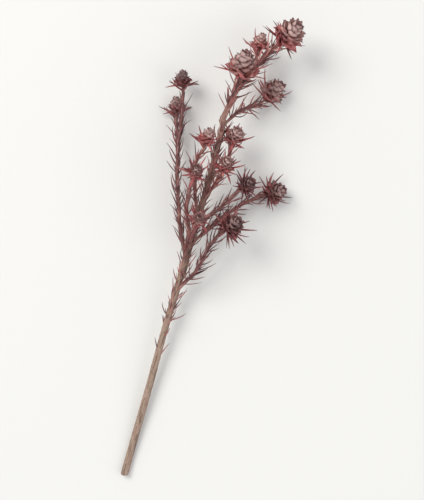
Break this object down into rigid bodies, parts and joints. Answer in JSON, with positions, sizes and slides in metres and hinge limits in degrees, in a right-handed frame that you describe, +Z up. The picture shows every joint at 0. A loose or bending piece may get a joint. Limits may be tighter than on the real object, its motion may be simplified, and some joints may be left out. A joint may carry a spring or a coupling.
{
  "type": "dried mini pineapple stem",
  "caption": "Dried branched cut stem with needle leaves and small cone-like heads of broad pointed scales over long spines, lying on a table.",
  "frame": {"origin": "centre of the underside of the bounding box, on the surface that the stem lies on", "axes": "+Y along the stem from its cut end to its heads, +Z up from the surface, +X to the right seen from above"},
  "size_m": [0.1705, 0.4228, 0.0744],
  "materials": {
    "bark": "matt, dry, pale olive-beige bark with leaf scars",
    "leaf": "matt, dry, dusty red-brown twigs and needle leaves",
    "cone": "matt, dry, taupe scales with dark maroon edges and red spines"
  },
  "bodies": {
    "root": {"main_stem": "bark", "sprig_01": "leaf", "sprig_02": "leaf", "sprig_03": "leaf", "sprig_04": "leaf", "sprig_05": "leaf", "sprig_06": "leaf", "sprig_07": "leaf", "sprig_08": "leaf", "sprig_09": "leaf", "sprig_10": "leaf", "sprig_11": "leaf", "sprig_12": "leaf", "sprig_13": "leaf", "sprig_14": "leaf", "cone_01": "cone", "cone_02": "cone", "cone_03": "cone", "cone_04": "cone", "cone_05": "cone", "cone_06": "cone", "cone_07": "cone", "cone_08": "cone", "cone_09": "cone", "cone_10": "cone", "cone_11": "cone", "cone_12": "cone", "cone_13": "cone", "cone_14": "cone"}
  },
  "joints": []
}
